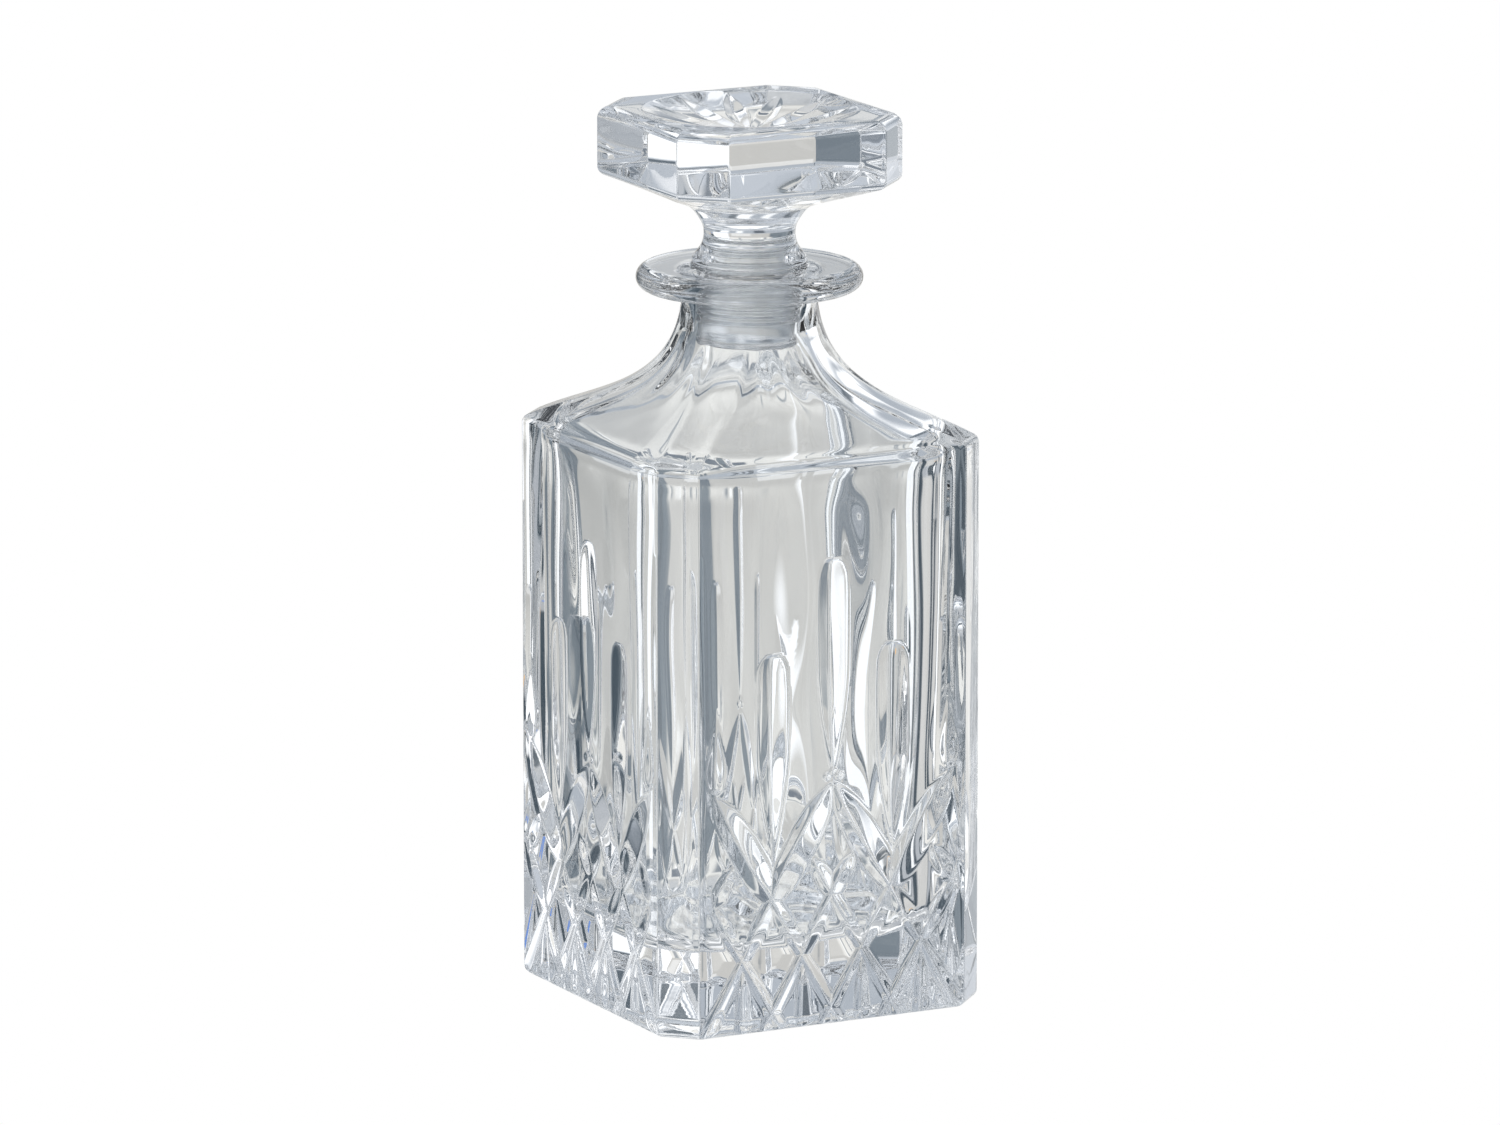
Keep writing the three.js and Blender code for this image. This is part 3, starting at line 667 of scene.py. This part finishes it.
# Panels around the decanter, later ones in front: bearing in degrees to the right of straight behind it,
# half-width, lowest and highest elevation, softness in degrees, and colour.
PANELS = [
    (0.0, 42.0, -40.0, -15.0, 3.0, (0.93, 0.915, 0.875)),
    (-15.0, 1.2, -36.0, -15.0, 1.3, (0.30, 0.33, 0.36)),
    (-11.5, 0.8, -36.0, -15.0, 0.8, (1.15, 1.15, 1.14)),
    (9.0, 1.0, -36.0, -15.0, 1.2, (0.34, 0.37, 0.40)),
    (180.0, 138.0, -90.0, 3.0, 10.0, (0.47, 0.495, 0.53)),
    (180.0, 180.0, 6.0, 90.0, 6.0, (0.56, 0.60, 0.66)),
    (180.0, 40.0, -45.0, -6.0, 4.0, (0.74, 0.73, 0.70)),
    (135.0, 16.0, -36.0, -17.0, 2.0, (0.26, 0.30, 0.335)),
    (147.0, 2.5, -36.0, -17.0, 1.2, (0.13, 0.16, 0.19)),
    (126.0, 4.0, -36.0, -17.0, 1.5, SLATE),
    (-142.0, 9.0, -50.0, 5.0, 2.0, (1.2, 1.21, 1.23)),
    (-128.0, 4.0, -34.0, -17.0, 1.5, SLATE),
    (-97.0, 14.0, -36.0, -8.0, 4.0, (0.26, 0.29, 0.32)),
    (-88.0, 12.0, 8.0, 52.0, 4.0, (1.35, 1.37, 1.4)),
    (-42.5, 20.5, -34.0, 5.0, 3.0, (0.21, 0.25, 0.285)),
    (-28.0, 9.0, -14.0, 3.0, 1.5, (0.17, 0.205, 0.24)),
    (-33.0, 2.5, -34.0, -12.0, 1.2, (0.13, 0.16, 0.19)),
    (-52.0, 3.5, -34.0, 5.0, 1.2, SLATE),
    (-69.0, 12.0, -32.0, 30.0, 2.5, SLATE),
    (-8.0, 7.0, -36.0, -23.5, 1.5, (0.16, 0.19, 0.23)),
    (0.0, 180.0, -90.0, -43.0, 6.0, (0.60, 0.615, 0.63)),
    (31.0, 11.0, -46.0, 8.0, 2.0, (1.25, 1.26, 1.28)),
    (50.0, 9.0, -34.0, -21.5, 1.2, SLATE),
    (46.0, 3.0, -34.0, -10.0, 1.5, SLATE),
    (61.0, 11.0, -21.0, 12.0, 3.0, (0.66, 0.655, 0.64)),
    (76.0, 4.0, -32.0, 30.0, 2.0, SLATE),
    (92.0, 10.0, 8.0, 52.0, 4.0, (1.2, 1.22, 1.25)),
    (150.0, 8.0, 4.0, 40.0, 3.0, (1.1, 1.12, 1.15)),
    (-150.0, 8.0, 4.0, 40.0, 3.0, (0.20, 0.23, 0.27)),
    (0.0, 70.0, 5.0, 45.0, 5.0, (0.44, 0.48, 0.535)),
    (-9.0, 5.0, 7.0, 40.0, 2.0, (0.10, 0.125, 0.155)),
    (9.0, 3.0, 7.0, 40.0, 2.0, (1.1, 1.12, 1.15)),
    (25.0, 5.0, 8.0, 32.0, 2.0, (1.25, 1.26, 1.28)),
    (35.0, 4.0, 10.0, 40.0, 2.0, (0.12, 0.15, 0.18)),
    (8.0, 9.0, -7.5, 5.0, 1.5, (0.86, 0.855, 0.84)),
    (45.0, 1.2, -4.5, -2.0, 0.7, (0.16, 0.32, 0.80)),
    (51.0, 0.9, -11.5, -8.5, 0.6, (1.2, 0.62, 0.12)),
]
# Light and dark cards on the table, between the panels and the foot.
for bearing in (15.0, 105.0, -75.0, -165.0):
    PANELS.append((bearing, 8.0, -82.0, -50.0, 3.0, (0.20, 0.235, 0.27)))
    PANELS.append((bearing + 38.0, 9.0, -82.0, -50.0, 3.0, (1.10, 1.11, 1.13)))


def build_world():
    """The studio as light by direction. The camera itself sees plain white behind the decanter."""
    world = bpy.data.worlds.new("studio")
    bpy.context.scene.world = world
    world.use_nodes = True
    n = Nodes(world.node_tree)
    xyz = n.add("ShaderNodeSeparateXYZ")
    n.link(n.add("ShaderNodeTexCoord").outputs["Generated"], xyz.inputs[0])
    x, y, z = xyz.outputs
    bearing = n.math("MULTIPLY_ADD", n.math("ARCTAN2", x, y), 180 / math.pi, math.degrees(AZIMUTH))
    height = n.math("MULTIPLY", n.math("ARCSINE", z), 180 / math.pi)
    colour = BACKDROP
    for centre, half, low, high, soft, tint in PANELS:
        off = n.math("ABSOLUTE", n.math("WRAP", n.math("SUBTRACT", bearing, centre), 180.0, -180.0))
        side = n.math("SUBTRACT", 1.0, n.step(off, half - soft, half + soft))
        bottom = n.step(height, low - soft, low + soft)
        top = n.math("SUBTRACT", 1.0, n.step(height, high - soft, high + soft))
        mask = n.math("MULTIPLY", n.math("MULTIPLY", side, bottom), top)
        colour = n.mix(mask, colour, tint)
    colour = n.mix(n.step(height, 62.0, 75.0), colour, OVERHEAD)
    studio = n.add("ShaderNodeBackground")
    n.link(colour, studio.inputs["Color"])
    plain = n.add("ShaderNodeBackground", Color=(1, 1, 1, 1))
    both = n.add("ShaderNodeMixShader")
    n.link(n.add("ShaderNodeLightPath").outputs["Is Camera Ray"], both.inputs[0])
    n.link(studio.outputs[0], both.inputs[1])
    n.link(plain.outputs[0], both.inputs[2])
    n.link(both.outputs[0], n.add("ShaderNodeOutputWorld").inputs["Surface"])


def build_floor():
    """A white disc under the decanter that only the camera sees."""
    radius, depth, sides = 3.0, 0.0002, 96
    mat = bpy.data.materials.new("floor_paper")
    mat.use_nodes = True
    n = Nodes(mat.node_tree)
    white = n.add("ShaderNodeEmission", Color=(1, 1, 1, 1))
    n.link(white.outputs[0], n.add("ShaderNodeOutputMaterial").inputs["Surface"])
    k = np.arange(sides) / sides * 2 * math.pi
    verts = np.stack([radius * np.cos(k), radius * np.sin(k), np.full(sides, -depth)], 1)
    mesh = bpy.data.meshes.new("floor")
    mesh.from_pydata([tuple(v) for v in verts], [], [tuple(range(sides))])
    mesh.materials.append(mat)
    floor = bpy.data.objects.new("floor", mesh)
    bpy.context.scene.collection.objects.link(floor)
    for kind in ("diffuse", "glossy", "transmission", "shadow"):
        setattr(floor, "visible_" + kind, False)


build_world()
build_floor()
view = bpy.context.scene.view_settings
view.view_transform = "Standard"
view.look = "None"
# Light crosses many glass walls before it reaches the studio.
cycles = bpy.context.scene.cycles
cycles.max_bounces = cycles.transmission_bounces = 24
cycles.glossy_bounces = 12
